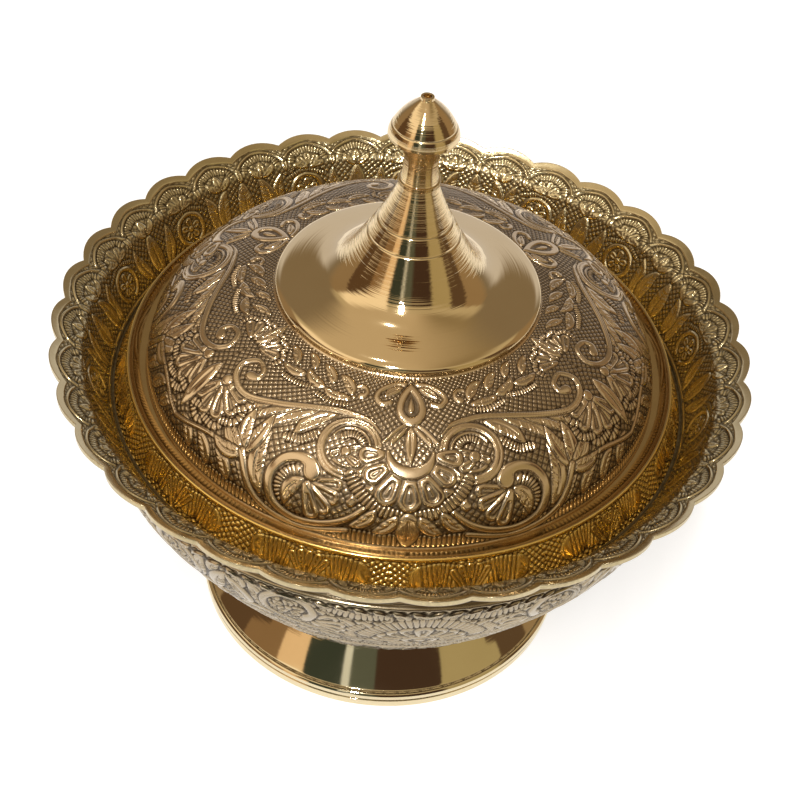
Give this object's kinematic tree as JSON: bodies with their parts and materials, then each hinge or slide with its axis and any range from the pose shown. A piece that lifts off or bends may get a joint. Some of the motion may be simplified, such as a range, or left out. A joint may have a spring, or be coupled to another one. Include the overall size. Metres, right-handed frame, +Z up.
{
  "type": "lidded candy dish",
  "caption": "Footed round bowl with a flared, scalloped rim and a domed lid that lifts off by a spun finial with an acorn knob.",
  "frame": {"origin": "centre of the foot's base, on the surface that the dish stands on", "axes": "+Z up along the axis that bowl, lid and finial are turned about; the picture looks along +Y from above, with +X to the right"},
  "size_m": [0.1998, 0.1998, 0.181],
  "materials": {
    "engraved_brass": "aged and engraved",
    "polished_brass": "polished",
    "screw_brass": "satin"
  },
  "bodies": {
    "dish": {"bowl": "engraved_brass", "foot": "polished_brass", "foot_screw": "screw_brass", "foot_washer": "screw_brass", "foot_nut": "screw_brass"},
    "lid": {"lid": "engraved_brass", "finial_bell": "polished_brass", "finial_knob": "polished_brass", "finial_stud": "screw_brass", "finial_washer": "screw_brass", "finial_nut": "screw_brass"}
  },
  "joints": [
    {"name": "lid_lift", "type": "slide", "parent": "dish", "child": "lid", "axis": [0, 0, 1], "range_m": [0, 0.12]}
  ]
}
